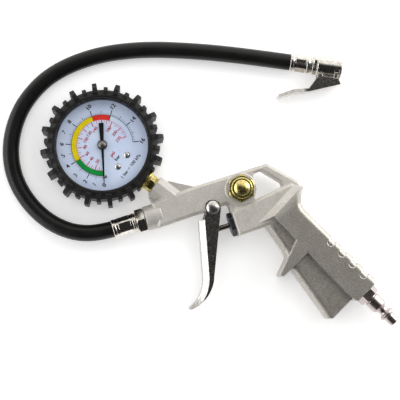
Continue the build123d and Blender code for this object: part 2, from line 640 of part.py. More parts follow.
def pinion_shaft():
    """Thin shaft through the dial with the pinion cut on it."""
    pitch_r = MODULE * PINION_TEETH / 2
    shaft = rod((0, 0, -7.0), (0, 0, 1), SHAFT_R, 18.9)
    towards = math.degrees(math.atan2(PIVOT[1], PIVOT[0]))
    for index in range(PINION_TEETH):
        angle = towards + index * 360 / PINION_TEETH
        shape = prism(
            [(0.4, -0.30), (pitch_r + 0.12, -0.14), (pitch_r + 0.12, 0.14), (0.4, 0.30)], -2.4, 0.2
        )
        shaft += Rot(0, 0, angle) * shape
    return shaft


def link_bar():
    """Thin link from the sector's tail to the bourdon tip, slotted at the tip's pin."""
    reach = math.hypot(TIP_PIN[0] - TAIL[0], TIP_PIN[1] - TAIL[1])
    turn = math.degrees(math.atan2(TIP_PIN[1] - TAIL[1], TIP_PIN[0] - TAIL[0]))
    bar = prism([(-0.9, -1.6), (reach + 1.6, -1.6), (reach + 1.6, 1.6), (-0.9, 1.6)], 0, 0.7)
    bar = fillet(bar.edges().filter_by(Axis.Z), 0.6)
    bar -= rod((0, 0, -1), (0, 0, 1), 0.5, 3)
    bar -= prism([(reach - 2.1, -1.1), (reach + 0.9, -1.1), (reach + 0.9, 1.1), (reach - 2.1, 1.1)], -1, 2)
    return Pos(*TAIL, 0.4) * Rot(0, 0, turn) * bar


def movement_frame():
    """Two small plates on pillars that carry the sector and pinion shafts."""
    plate = [(-13.6, -17.2), (3.4, -17.2), (4.2, 5.0), (-5.4, 5.0)]
    frame = prism(plate, -6.4, -5.4) + prism(plate, 4.2, 5.2)
    for post in ((2.2, -15.2), (-3.8, 3.6)):
        frame += rod((*post, -6.0), (0, 0, 1), 1.1, 11)
    frame -= rod((0, 0, -10), (0, 0, 1), SHAFT_R + EASE, 20)
    frame -= rod((*PIVOT, -10), (0, 0, 1), 0.8 + EASE, 20)
    foot = prism([(-5.0, -21.2), (3.4, -21.2), (3.4, -16.8), (-5.0, -16.8)], -6.4, -5.8)
    return frame + foot


def hairspring():
    """Flat spiral spring round the pinion shaft, made of half rings of growing radius."""
    pitch = 0.8
    half_wide = 0.12
    spiral = None
    for index in range(6):
        radius = 1.3 + index * pitch / 2
        centre = pitch / 4 if index % 2 else -pitch / 4
        start = 180 if index % 2 else 0
        turn = ring_sector(radius - half_wide, radius + half_wide, start, start + 180, 1.4, 2.4)
        turn = Pos(centre, 0, 0) * turn
        spiral = turn if spiral is None else spiral + turn
    return spiral


def pointer_arm():
    """Needle with a broad square-ended tail on a round hub."""
    needle = prism(
        [(-1.75, -15.8), (1.75, -15.8), (1.25, -3.0), (0.95, 3.0), (0.45, 24.0), (0.1, 28.4), (-0.1, 28.4),
         (-0.45, 24.0), (-0.95, 3.0), (-1.25, -3.0)],
        10.3, 10.8,
    )
    needle = Rot(0, 0, POINTER_REST - 90) * needle
    hub = rod((0, 0, 9.9), (0, 0, 1), 3.5, 1.2)
    return needle + hub - rod((0, 0, 5), (0, 0, 1), SHAFT_R, 8)


def pointer_cap():
    """Bright domed cap on the pointer's hub."""
    return cap((0, 0, 11.1), (0, 0, 1), 3.0, 1.4) - rod((0, 0, 10), (0, 0, 1), SHAFT_R, 2.0)


GAUGE_TURN = BOSS_ANGLE - 90
POINTER_REST = 273.3 - 18.0 - GAUGE_TURN
gauge_place = Pos(*GAUGE_CENTRE, 0) * Rot(0, 0, GAUGE_TURN)
SCREW_SPOTS = [polar(18.9, angle - 18.0 - GAUGE_TURN) for angle in (-21.5, -53.8)]
STOP_SPOT = polar(22.4, 276.9 - 18.0 - GAUGE_TURN)

dial = rod((0, 0, DIAL_Z), (0, 0, 1), 32.5, 0.8) - rod((0, 0, DIAL_Z - 1), (0, 0, 1), 1.4, 4)
screws = []
for spot in SCREW_SPOTS:
    dial -= rod((*spot, DIAL_Z - 1), (0, 0, 1), 1.2, 4)
    head = cap((*spot, DIAL_Z + 0.8), (0, 0, 1), 2.4, 1.1)
    slotted = head - Pos(*spot, DIAL_Z + 2.1) * Rot(0, 0, 25) * Box(6, 0.5, 0.8)
    screws.append(slotted + rod((*spot, DIAL_Z - 2.2), (0, 0, 1), 1.15, 3.2))
dial -= rod((*STOP_SPOT, DIAL_Z - 1), (0, 0, 1), 0.7, 4)

gauge_pieces = {
    "gauge_case": gauge_case(),
    "gauge_boot": gauge_boot(),
    "gauge_stem": gauge_stem(),
    "bourdon_tube": bourdon_tube(),
    "sector_gear": sector_gear(),
    "pinion_shaft": pinion_shaft(),
    "link": link_bar(),
    "movement_frame": movement_frame(),
    "movement_screws": Compound([cap((x, -19.2, -5.8), (0, 0, 1), 1.4, 0.6) for x in (-3.0, 1.4)]),
    "hairspring": hairspring(),
    "dial_plate": dial,
    "dial_screws": Compound(screws),
    "stop_pin": rod((*STOP_SPOT, DIAL_Z - 0.6), (0, 0, 1), 0.65, 3.2)
    + cap((*STOP_SPOT, DIAL_Z + 0.8), (0, 0, 1), 1.35, 0.9),
    "pointer": pointer_arm(),
    "pointer_cap": pointer_cap(),
    "gauge_lens": turned(
        [(0, 0), (0, CASE_R), (1.6, CASE_R), (2.0, CASE_R - 0.6), (2.2, 0)], (0, 0, CASE_TOP), (0, 0, 1)
    ),
    "lens_ring": turned(
        [(0, CASE_R + EASE), (0, RING_R), (5.1, RING_R), (5.1, WINDOW_R), (4.25, WINDOW_R),
         (4.25, CASE_R + EASE)],
        (0, 0, CASE_TOP - 2.0), (0, 0, 1),
    ),
}
for name, piece in gauge_pieces.items():
    parts[name] = gauge_place * piece


# ---------------------------------------------------------------- hose and its fittings
def barbed_tail(length):
    """Corners of a hose tail with shallow barbs."""
    corners = [(0, 0), (0, HOSE_BORE_R)]
    barbs = int(length // 3)
    for index in range(barbs):
        reach = (index + 1) * length / barbs
        corners += [(reach - 0.6, HOSE_BORE_R), (reach, HOSE_BORE_R - 0.35)]
    return corners + [(length, 0)]


def ferrule(start, direction, length, radius, ring_r, shift):
    """Crimped sleeve over the hose end: closed collar, raised end rings, pressed flats between."""
    sleeve = turned(
        [(0, 3.4), (0, radius - 0.4), (0.4, radius), (1.2, radius), (1.5, ring_r), (2.6, ring_r),
         (2.9, radius), (length - 2.6, radius), (length - 2.2, ring_r), (length - 0.4, ring_r),
         (length, ring_r - 0.4), (length, HOSE_R), (shift, HOSE_R), (shift, 3.4)],
        start, direction,
    )
    frame = axis_frame(start, direction)
    for index in range(6):
        cutter = Pos(radius + 0.75, 0, length / 2) * Box(2.2, 4.8, length * 0.5)
        sleeve -= frame * (Rot(0, 0, index * 60) * cutter)
    return sleeve


def hose_sweep(radius):
    """Round bar along the hose's route, with an arc at every route point as large as its runs allow."""
    points = [Vector(*point) for point in HOSE_ROUTE]
    radii = []
    for before, corner, after in zip(points, points[1:], points[2:]):
        turn = math.radians((corner - before).get_angle(after - corner))
        shorter = min((corner - before).length, (after - corner).length)
        radii.append(0.45 * shorter / math.tan(turn / 2))
    path = FilletPolyline(*points, radius=radii)
    section = Plane(origin=path @ 0, z_dir=path % 0) * Circle(radius)
    return sweep(section, path=path), path, radii


back = (-1, 0, 0)
hose_nut = domed_nut((-54.6, BARREL_Y, 0), (1, 0, 0), 16.2, 6.2, 0)
hose_nut += rod((MOUTH_X - 0.4, BARREL_Y, 0), (1, 0, 0), SOCKET_R - EASE, 10)
hose_nut += turned([(0, 0), (0, 3.4), (3.2, 3.4), (3.2, 0)], (-54.6, BARREL_Y, 0), back)
hose_nut += turned(barbed_tail(12.0), (-57.8, BARREL_Y, 0), back)
hose_nut -= rod((-30, BARREL_Y, 0), back, 1.9, 60)
parts["hose_nut_gun"] = hose_nut
parts["hose_ferrule_gun"] = ferrule((-54.8, BARREL_Y, 0), back, 17.7, 6.8, 7.1, 3.2)

solid_hose, hose_path, hose_radii = hose_sweep(HOSE_R)
hose_bore, _, _ = hose_sweep(HOSE_BORE_R)
parts["hose"] = solid_hose - hose_bore
hose_section = math.pi * (HOSE_R**2 - HOSE_BORE_R**2)
print("hose length", round(hose_path.length, 1), "radii", [round(radius) for radius in hose_radii])
print("hose volume", round(parts["hose"].volume), "section x length", round(hose_section * hose_path.length))

chuck_place = Pos(*CHUCK_START, CHUCK_Z) * Rot(0, 0, CHUCK_ANGLE)
EAR_IN = 3.0
EAR_OUT = 4.4
CLIP_IN = 4.55
CLIP_OUT = 5.65
CLIP_PIN_R = 1.0
TOOTH_X = 34.6  # slot and tooth, along the chuck's axis


def chuck_body():
    """Round chuck head with wrench flats, a stepped bore, a slot for the clip's tooth, and two ears."""
    head = turned(
        [(16.3, 0), (16.3, 6.4), (16.7, 6.8), (19.8, 6.8), (20.0, 7.3), (20.4, CHUCK_R),
         (CHUCK_NOSE - 0.6, CHUCK_R), (CHUCK_NOSE, 7.1), (CHUCK_NOSE, 0)],
        (0, 0, 0), (1, 0, 0),
    )
    for side in (1, -1):
        head -= Pos(18.5, 0, side * 7.0) * Box(2.2, 12, 2.2)
        ear = prism([(20.8, -3.0), (26.4, -3.0), (25.6, -8.4), (24.2, -9.8), (21.6, -9.8), (20.9, -8.8)],
                    EAR_IN, EAR_OUT)
        head += ear if side == 1 else mirror(ear, about=Plane.XY)
    head -= rod((23.6, 0, 0), (1, 0, 0), CHAMBER_R, CHUCK_NOSE - VALVE_BORE_LENGTH - 23.6)
    head -= rod((23.6, 0, 0), (1, 0, 0), VALVE_BORE_R, 20)
    head -= rod((10, 0, 0), (1, 0, 0), 1.9, 20)
    head -= Pos(TOOTH_X, -6.5, 0) * Box(3.6, 6.4, 12.0)
    for side in (1, -1):
        head -= Pos(TOOTH_X, -5.3, side * 6.5) * Box(3.6, 7.4, 4.0)
    head -= Pos(*CLIP_PIN, 0) * Box(4.4, 4.4, 2 * EAR_IN)
    return head - rod((*CLIP_PIN, -20), (0, 0, 1), CLIP_PIN_R + EASE, 40)


def chuck_clip():
    """Bent sheet lever: two cheeks on the pin, a tooth bar at the front and a flanged thumb tab behind."""
    cheek = [(15.4, -18.9), (20.8, -9.2), (21.5, -7.2), (22.1, -6.6), (24.0, -6.6), (25.4, -7.6),
             (36.9, -8.0), (38.6, -11.7), (16.2, -20.3)]
    web = [(38.7, -11.8), (16.2, -20.4), (5.4, -22.8), (-5.2, -28.0), (-5.7, -26.9), (5.0, -21.6),
           (15.9, -19.2), (38.3, -10.6)]
    flange = [(16.4, -19.3), (5.0, -21.7), (-5.5, -27.0), (-6.1, -25.8), (4.6, -20.3), (15.8, -17.9)]
    clip = slab(web, CLIP_OUT)
    for outline_points in (cheek, flange):
        clip += prism(outline_points, CLIP_IN, CLIP_OUT) + prism(outline_points, -CLIP_OUT, -CLIP_IN)
    clip += prism([(TOOTH_X - 1.4, -12.9), (TOOTH_X + 1.2, -11.9), (TOOTH_X + 0.9, -4.6),
                   (TOOTH_X + 0.3, -4.35), (TOOTH_X - 0.5, -4.35), (TOOTH_X - 0.9, -4.8)], -3.4, 3.4)
    bore_room = rod((20, 0, 0), (1, 0, 0), VALVE_BORE_R + 0.15, 20)
    return clip - bore_room - rod((*CLIP_PIN, -20), (0, 0, 1), CLIP_PIN_R + EASE, 40)


def chuck_tail():
    """Hose tail with a collar and a flange that closes against the chuck head."""
    tail = turned(barbed_tail(11.0), (12.0, 0, 0), (-1, 0, 0))
    tail += rod((12.0, 0, 0), (1, 0, 0), 3.35, 3.2)
    tail += rod((15.2, 0, 0), (1, 0, 0), 6.0, 1.1)
    return tail - rod((0, 0, 0), (1, 0, 0), 1.9, 20)


chuck_pieces = {
    "chuck_tail": chuck_tail(),
    "hose_ferrule_chuck": ferrule((15.1, 0, 0), (-1, 0, 0), 15.1, 6.55, 6.85, 3.1),
    "chuck_body": chuck_body(),
    "chuck_seal": tube((23.6, 0, 0), (1, 0, 0), CHAMBER_R - 0.02, 1.8, 2.2),
    "chuck_core_pin": turned(
        [(0, 0), (0, 1.85), (1.6, 1.85), (1.6, 0.9), (6.0, 0.9), (6.3, 0.6), (6.3, 0)],
        (22.0, 0, 0), (1, 0, 0),
    ),
    "clip_pin": turned(
        [(0, 0), (0, 1.7), (0.5, 1.8), (0.5, CLIP_PIN_R), (12.0, CLIP_PIN_R), (12.0, 1.8), (12.5, 1.7),
         (12.5, 0)],
        (*CLIP_PIN, -6.25), (0, 0, 1),
    ),
    "clip_spring": coil((*CLIP_PIN, -2.4), (0, 0, 1), 1.5, 0.25, 4.8, 7),
    "chuck_clip": chuck_clip(),
}
for name, piece in chuck_pieces.items():
    parts[name] = chuck_place * piece

# ---------------------------------------------------------------- move to the final frame and write
CORD_NODES = ["hose", "hose_nut_gun", "hose_ferrule_gun"] + list(chuck_pieces)
tool = Compound([piece for name, piece in parts.items() if name not in CORD_NODES])
tool_box = tool.bounding_box()
SHIFT = (-(tool_box.min.X + tool_box.max.X) / 2, -(tool_box.min.Y + tool_box.max.Y) / 2, HALF_GRIP)
print("shift to the final frame", [round(value, 3) for value in SHIFT])

os.makedirs("parts", exist_ok=True)
for name, piece in parts.items():
    export_step(Pos(*SHIFT) * piece, f"parts/{name}.step")
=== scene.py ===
import json
import math

import bmesh
import bpy
from mathutils import Matrix, Vector


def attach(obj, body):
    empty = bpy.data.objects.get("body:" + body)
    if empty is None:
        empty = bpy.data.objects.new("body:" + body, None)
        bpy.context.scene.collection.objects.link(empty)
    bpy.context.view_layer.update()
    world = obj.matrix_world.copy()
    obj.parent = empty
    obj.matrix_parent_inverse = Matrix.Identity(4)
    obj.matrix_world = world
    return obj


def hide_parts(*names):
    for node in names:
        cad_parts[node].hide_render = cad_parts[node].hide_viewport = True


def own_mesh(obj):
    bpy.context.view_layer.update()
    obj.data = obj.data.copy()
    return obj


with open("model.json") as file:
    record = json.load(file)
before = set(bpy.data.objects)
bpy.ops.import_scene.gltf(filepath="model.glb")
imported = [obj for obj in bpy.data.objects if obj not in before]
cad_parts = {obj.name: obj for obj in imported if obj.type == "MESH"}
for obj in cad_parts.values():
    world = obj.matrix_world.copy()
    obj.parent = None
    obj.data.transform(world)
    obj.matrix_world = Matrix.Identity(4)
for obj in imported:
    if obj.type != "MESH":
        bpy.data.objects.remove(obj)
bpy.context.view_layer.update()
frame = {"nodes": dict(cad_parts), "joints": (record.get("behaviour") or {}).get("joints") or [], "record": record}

MM = 0.001
joints = {joint["name"]: joint for joint in frame["joints"]}
PIVOT = Vector(joints["trigger_pull"]["pos_m"])  # the gun frame's origin: trigger pivot, mid-plane
GAUGE = Vector(joints["pointer_turn"]["pos_m"])


def at(x, y, z=0.0):
    """Point in metres from millimetres in the gun's own frame."""
    return PIVOT + Vector((x, y, z)) * MM


# ---------------------------------------------------------------- camera
PHOTO_RIGHT = Vector((0.951, -0.309, 0.0))
PHOTO_UP = Vector((0.309, 0.951, 0.0))
CAMERA_TARGET = (-6.4, 8.4)  # gun frame, millimetres
CAMERA_DISTANCE = 0.90
FRAME_WIDTH = 0.288  # metres seen across the picture, at the target
SENSOR_WIDTH = 36.0
LEAN = math.radians(5.7)  # away from straight above
LEAN_RIGHT = -0.62  # shares of the lean along the picture's right and up
LEAN_UP = -0.79


def add_camera():
    """Long lens nearly straight above, leaning a little towards the picture's lower left."""
    target = at(*CAMERA_TARGET)
    lean_to = (PHOTO_RIGHT * LEAN_RIGHT + PHOTO_UP * LEAN_UP).normalized()
    back = (Vector((0, 0, 1)) * math.cos(LEAN) + lean_to * math.sin(LEAN)).normalized()
    right = PHOTO_UP.cross(back).normalized()
    up = back.cross(right)
    data = bpy.data.cameras.new("camera")
    data.sensor_width = SENSOR_WIDTH
    data.lens = SENSOR_WIDTH * CAMERA_DISTANCE / FRAME_WIDTH
    data.clip_start = 0.01
    camera = bpy.data.objects.new("camera", data)
    rotation = Matrix((right, up, back)).transposed().to_4x4()
    camera.matrix_world = Matrix.Translation(target + back * CAMERA_DISTANCE) @ rotation
    bpy.context.collection.objects.link(camera)
    bpy.context.scene.camera = camera


add_camera()


# ---------------------------------------------------------------- material helpers
GRIP_WAY = Vector((0.460, -0.888, 0.0))  # down the grip
GRIP_FADE = (0.027, 0.037)  # metres along it, where the grip starts


class Shader:
    """One node material being put together."""

    def __init__(self, name):
        self.material = bpy.data.materials.new(name)
        self.material.use_nodes = True
        self.nodes = self.material.node_tree.nodes
        self.links = self.material.node_tree.links
        self.body = self.nodes["Principled BSDF"]
        self.place = self.nodes.new("ShaderNodeTexCoord").outputs["Object"]

    def set(self, **values):
        """Constant values on the shader's own sockets."""
        for key, value in values.items():
            self.body.inputs[key.replace("_", " ")].default_value = value
        return self

    def noise(self, size_mm, detail=4.0, rough=0.55, stretch=None):
        """Noise of a given grain size in millimetres."""
        texture = self.nodes.new("ShaderNodeTexNoise")
        texture.inputs["Scale"].default_value = 1000.0 / size_mm
        texture.inputs["Detail"].default_value = detail
        texture.inputs["Roughness"].default_value = rough
        source = self.place
        if stretch:
            mapping = self.nodes.new("ShaderNodeMapping")
            mapping.inputs["Scale"].default_value = stretch
            self.links.new(self.place, mapping.inputs["Vector"])
            source = mapping.outputs["Vector"]
        self.links.new(source, texture.inputs["Vector"])
        return texture.outputs["Fac"]

    def ramp(self, source, stops):
        """Colour ramp from (position, colour or grey) stops."""
        node = self.nodes.new("ShaderNodeValToRGB")
        while len(node.color_ramp.elements) < len(stops):
            node.color_ramp.elements.new(0.5)
        for element, (position, value) in zip(node.color_ramp.elements, stops):
            element.position = position
            element.color = (*value, 1.0) if isinstance(value, tuple) else (value, value, value, 1.0)
        self.links.new(source, node.inputs["Fac"])
        return node.outputs["Color"]

    def mix(self, factor, first, second, blend="MIX"):
        """Mix of two colours."""
        node = self.nodes.new("ShaderNodeMix")
        node.data_type = "RGBA"
        node.blend_type = blend
        for value, socket in ((factor, "Factor"), (first, "A"), (second, "B")):
            target = [s for s in node.inputs if s.name == socket and s.enabled][0]
            if hasattr(value, "node"):
                self.links.new(value, target)
            else:
                target.default_value = (*value, 1.0) if isinstance(value, tuple) else value
        return [s for s in node.outputs if s.enabled][0]

    def bevel_normal(self, radius_mm):
        """Normal of edges rounded by a small radius."""
        node = self.nodes.new("ShaderNodeBevel")
        node.samples = 6
        node.inputs["Radius"].default_value = radius_mm * MM
        return node.outputs["Normal"]

    def edge_highlight_mask(self, radius_mm):
        """1 on edges, 0 on flats, from how far a rounded normal leans; the materials use it to paint a pale
        highlight along edges.
        """
        soft = self.bevel_normal(radius_mm)
        true = self.nodes.new("ShaderNodeNewGeometry").outputs["Normal"]
        dot = self.nodes.new("ShaderNodeVectorMath")
        dot.operation = "DOT_PRODUCT"
        self.links.new(soft, dot.inputs[0])
        self.links.new(true, dot.inputs[1])
        return self.ramp(dot.outputs["Value"], [(0.80, 1.0), (0.985, 0.0)])

    def grip_mask(self):
        """1 where hands darken the grip, 0 on the barrel, with a soft change between."""
        along = self.nodes.new("ShaderNodeVectorMath")
        along.operation = "DOT_PRODUCT"
        along.inputs[1].default_value = GRIP_WAY
        self.links.new(self.place, along.inputs[0])
        fade = self.nodes.new("ShaderNodeMapRange")
        fade.inputs["From Min"].default_value = GRIP_FADE[0]
        fade.inputs["From Max"].default_value = GRIP_FADE[1]
        self.links.new(along.outputs["Value"], fade.inputs["Value"])
        return fade.outputs["Result"]

    def bump(self, layers, bevel_mm=0.0):
        """Bump from (height socket, depth in mm, strength) layers over an optional rounded-edge normal."""
        normal = self.bevel_normal(bevel_mm) if bevel_mm else None
        for height, depth_mm, strength in layers:
            node = self.nodes.new("ShaderNodeBump")
            node.inputs["Distance"].default_value = depth_mm * MM
            node.inputs["Strength"].default_value = strength
            self.links.new(height, node.inputs["Height"])
            if normal:
                self.links.new(normal, node.inputs["Normal"])
            normal = node.outputs["Normal"]
        self.links.new(normal, self.body.inputs["Normal"])
        return self

    def colour(self, socket):
        self.links.new(socket, self.body.inputs["Base Color"])
        return self

    def metallic(self, source, low, high):
        self.links.new(self.ramp(source, [(0.0, low), (1.0, high)]), self.body.inputs["Metallic"])
        return self

    def roughness(self, source, low, high):
        self.links.new(self.ramp(source, [(0.3, low), (0.7, high)]), self.body.inputs["Roughness"])
        return self


# ---------------------------------------------------------------- materials
def cast_alloy():
    """Satin casting, with fine grain on the barrel and coarser grain and small pits on the grip."""
    s = Shader("cast_alloy")
    grip = s.grip_mask()
    s.metallic(grip, 0.45, 0.84)
    grain = s.noise(1.0, 4.0, 0.7)
    mottle = s.noise(9.0, 5.0, 0.6)
    base = s.ramp(mottle, [(0.32, (0.58, 0.555, 0.51)), (0.68, (0.68, 0.655, 0.61))])
    smooth = s.mix(s.ramp(grain, [(0.38, 0.30), (0.56, 0.0)]), base, (0.30, 0.28, 0.25))
    smooth = s.mix(s.ramp(grain, [(0.58, 0.0), (0.74, 0.30)]), smooth, (0.86, 0.83, 0.77))
    coarse = s.mix(s.ramp(grain, [(0.36, 0.54), (0.54, 0.0)]), base, (0.25, 0.235, 0.21))
    coarse = s.mix(s.ramp(grain, [(0.56, 0.0), (0.72, 0.50)]), coarse, (0.90, 0.87, 0.81))
    coarse = s.mix(s.ramp(s.noise(2.4, 2.0, 0.5), [(0.24, 0.60), (0.33, 0.0)]), coarse, (0.20, 0.19, 0.17))
    coarse = s.mix(1.0, coarse, (0.90, 0.89, 0.87), "MULTIPLY")
    base = s.mix(grip, smooth, coarse)
    # Painted highlight along the edges, with some wear: pale cream where the rounded edges would catch the light.
    base = s.mix(s.edge_highlight_mask(0.9), base, (0.95, 0.93, 0.88))
    s.colour(base).roughness(s.noise(1.1, 4.0), 0.34, 0.50)
    return s.bump([(s.noise(3.0, 3.0), 0.14, 0.5), (grain, 0.12, 0.9)], 0.6).material


def plated(name, tint, rough=0.13, dark=0.72):
    """Bright plated steel; dark is how much its dull patches keep of the tint."""
    s = Shader(name).set(Metallic=1.0)
    stain = s.noise(3.0, 6.0, 0.65)
    dull = tuple(value * dark for value in tint)
    base = s.ramp(stain, [(0.35, dull), (0.6, tint)])
    # Painted highlight: a pale colour on the edges, where they would catch the light.
    base = s.mix(s.edge_highlight_mask(0.30), base, (0.90, 0.88, 0.85))
    s.colour(base).roughness(s.noise(0.9, 5.0), rough, rough + 0.13)
    return s.bump([(s.noise(1.6, 4.0), 0.02, 0.4), (s.noise(0.5, 3.0), 0.01, 0.5)], 0.45).material


def clip_steel():
    """Mirror-dark cheeks and a worn, paler thumb tab."""
    s = Shader("clip_steel")
    split = s.nodes.new("ShaderNodeSeparateXYZ")
    s.links.new(s.nodes.new("ShaderNodeTexCoord").outputs["Generated"], split.inputs[0])
    tab = s.ramp(split.outputs["X"], [(0.40, 1.0), (0.46, 0.0)])
    s.metallic(tab, 1.0, 0.35)
    base = s.ramp(s.noise(1.8, 6.0, 0.7), [(0.35, (0.55, 0.53, 0.50)), (0.62, (0.84, 0.81, 0.77))])
    # Painted highlight: a pale colour on the edges, where they would catch the light.
    base = s.mix(s.edge_highlight_mask(0.4), base, (0.95, 0.93, 0.90))
    s.colour(base).roughness(s.noise(0.9, 5.0), 0.14, 0.28)
    return s.bump([(s.noise(1.2, 4.0), 0.03, 0.5)], 0.5).material


def trigger_steel():
    """Dark, streaked steel with paler edges, partly wear and partly painted highlight."""
    s = Shader("trigger_steel").set(Metallic=1.0)
    stain = s.noise(1.6, 7.0, 0.7, stretch=(1.0, 0.45, 1.0))
    base = s.ramp(stain, [(0.32, (0.30, 0.29, 0.28)), (0.60, (0.56, 0.545, 0.52))])
    # Paler edges: partly wear, partly painted highlight where the edges would catch the light.
    base = s.mix(s.edge_highlight_mask(0.5), base, (0.88, 0.86, 0.82))
    s.colour(base).roughness(s.noise(0.7, 5.0), 0.20, 0.36)
    return s.bump([(s.noise(0.9, 4.0), 0.03, 0.6)], 0.35).material


def brass():
    """Bright brass with darker stains."""
    s = Shader("brass").set(Metallic=1.0)
    stain = s.noise(1.3, 7.0, 0.7)
    base = s.ramp(stain, [(0.36, (0.46, 0.35, 0.10)), (0.56, (0.88, 0.75, 0.30))])
    # Painted highlight: a pale yellow on the edges, where they would catch the light.
    base = s.mix(s.edge_highlight_mask(0.35), base, (0.98, 0.90, 0.55))
    s.colour(base).roughness(s.noise(0.8, 4.0), 0.20, 0.38)
    return s.bump([(s.noise(0.9, 4.0), 0.05, 0.8)], 0.25).material


def rubber(name, shade, rough, grain_mm, depth_mm, shine):
    """Black rubber of a given shade, with a fine grain in its surface."""
    s = Shader(name).set(Specular_IOR_Level=shine)
    cloud = s.noise(9.0, 4.0)
    base = s.ramp(cloud, [(0.3, (shade, shade, shade)), (0.7, (shade * 1.7, shade * 1.7, shade * 1.65))])
    # Painted highlight: rib tops and edges made paler where they would catch the light.
    base = s.mix(s.edge_highlight_mask(0.5), base, (shade * 4.0, shade * 3.9, shade * 3.7))
    s.colour(base).roughness(s.noise(2.0, 4.0), rough - 0.06, rough + 0.06)
    return s.bump([(s.noise(5.0, 3.0), 0.12, 0.4), (s.noise(grain_mm, 3.0), depth_mm, 0.6)], 0.5).material


def black_steel(name, tint):
    """Blackened steel, paler on its edges: partly wear, partly painted highlight."""
    s = Shader(name).set(Metallic=0.7)
    bright = tuple(value * 2.6 for value in tint)
    base = s.ramp(s.noise(2.0), [(0.3, tint), (0.7, bright)])
    # Paler bluish edges: partly wear, partly painted highlight where the edges would catch the light.
    base = s.mix(s.edge_highlight_mask(0.35), base, (0.34, 0.37, 0.43))
    s.colour(base).roughness(s.noise(1.0), 0.25, 0.42)
    return s.bump([(s.noise(0.6), 0.02, 0.5)], 0.3).material


def dial_paint():
    """Pale blue-white enamel."""
    s = Shader("dial_paint").set(Specular_IOR_Level=0.2)
    s.colour(s.ramp(s.noise(18.0, 2.0), [(0.3, (0.56, 0.65, 0.85)), (0.7, (0.66, 0.745, 0.92))]))
    s.roughness(s.noise(3.0), 0.40, 0.50)
    return s.bump([(s.noise(0.8), 0.004, 0.3)]).material


def print_ink(name, colour):
    """Slightly uneven ink."""
    s = Shader(name).set(Specular_IOR_Level=0.2)
    faded = tuple(value * 0.8 for value in colour)
    s.colour(s.ramp(s.noise(1.5), [(0.3, faded), (0.7, colour)]))
    s.roughness(s.noise(2.0), 0.40, 0.55)
    return s.bump([(s.noise(0.5), 0.004, 0.3)]).material


def clear_lens():
    """Nearly clear window that keeps a faint reflection."""
    s = Shader("clear_lens").set(Metallic=1.0, Alpha=0.035)
    s.colour(s.ramp(s.noise(20.0), [(0.3, (0.90, 0.95, 1.0)), (0.7, (1.0, 1.0, 1.0))]))
    s.roughness(s.noise(9.0), 0.03, 0.06)
    return s.material


def fibre():
    """Red-brown fibre washer."""
    s = Shader("fibre")
    s.colour(s.ramp(s.noise(0.8), [(0.3, (0.20, 0.06, 0.04)), (0.7, (0.34, 0.11, 0.07))]))
    s.roughness(s.noise(0.5), 0.6, 0.8)
    return s.bump([(s.noise(0.4), 0.02, 0.6)]).material


finishes = {
    "cast_alloy": cast_alloy(),
    "plated_steel": plated("nickel", (0.84, 0.80, 0.74)),
    "polished_steel": plated("polished_steel", (0.86, 0.85, 0.83), rough=0.16),
    "black_steel": black_steel("black_steel", (0.024, 0.026, 0.031)),
    "brass": brass(),
    "spring_steel": plated("spring_steel", (0.50, 0.50, 0.51), rough=0.28),
    "rubber_boot": rubber("rubber_boot", 0.0070, rough=0.50, grain_mm=1.1, depth_mm=0.12, shine=0.26),
    "hose_rubber": rubber("hose_rubber", 0.0045, rough=0.36, grain_mm=1.2, depth_mm=0.03, shine=0.32),
    "seal_rubber": rubber("seal_rubber", 0.015, rough=0.5, grain_mm=0.8, depth_mm=0.02, shine=0.4),
    "case_steel": black_steel("case_steel", (0.008, 0.008, 0.009)),
    "dial_white": dial_paint(),
    "pointer_black": print_ink("pointer_black", (0.008, 0.008, 0.010)),
    "lens_clear": clear_lens(),
    "fibre": fibre(),
}
own_finish = {  # nodes that look different from the rest of their slot
    "trigger": trigger_steel(),
    "chuck_clip": clip_steel(),
    "inlet_plug": plated("plug_steel", (0.62, 0.54, 0.535), rough=0.24, dark=0.80),
    "pointer_cap": plated("cap_steel", (0.34, 0.32, 0.31), rough=0.38, dark=0.80),
    "trigger_pin": plated("pin_steel", (0.70, 0.69, 0.67), rough=0.24, dark=0.70),
    "plunger_pin": plated("rod_steel", (0.30, 0.28, 0.26), rough=0.16, dark=0.60),
}
slot_of = {part["node"]: part["material_slot"] for part in frame["record"]["subparts"]}
for node, thing in frame["nodes"].items():
    finish = own_finish.get(node, finishes[slot_of[node]])
    thing.data.materials.clear()
    thing.data.materials.append(finish)


# ---------------------------------------------------------------- hose
HOSE_ROUTE = [
    (-61.0, 7.3, 0.0),
    (-79.5, 7.3, 0.0),
    (-97.9, 12.5, -1.6),
    (-112.6, 24.4, -3.8),
    (-123.2, 41.5, -5.8),
    (-128.5, 62.1, -7.0),
    (-126.4, 82.3, -7.0),
    (-117.5, 101.3, -7.0),
    (-103.1, 117.1, -7.0),
    (-80.0, 129.5, -7.0),
    (-48.1, 132.9, -7.0),
    (-14.5, 127.5, -7.0),
    (20.4, 115.6, -7.0),
    (58.1, 99.36, -5.3),
    (95.2, 81.66, -5.3),
]


def add_hose():
    """Hose as one smooth spline through its route."""
    data = bpy.data.curves.new("hose_rubber_tube", "CURVE")
    data.dimensions = "3D"
    data.bevel_depth = 5.95 * MM
    data.bevel_resolution = 12
    data.resolution_u = 24
    data.use_fill_caps = True
    spline = data.splines.new("NURBS")
    spline.points.add(len(HOSE_ROUTE) - 1)
    for point, place in zip(spline.points, HOSE_ROUTE):
        point.co = (*at(*place), 1.0)
    spline.order_u = 3
    spline.use_endpoint_u = True
    hose = bpy.data.objects.new("hose_rubber_tube", data)
    bpy.context.collection.objects.link(hose)
    data.materials.append(finishes["hose_rubber"])
    return hose


hose = add_hose()
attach(hose, "gun")
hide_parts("hose")


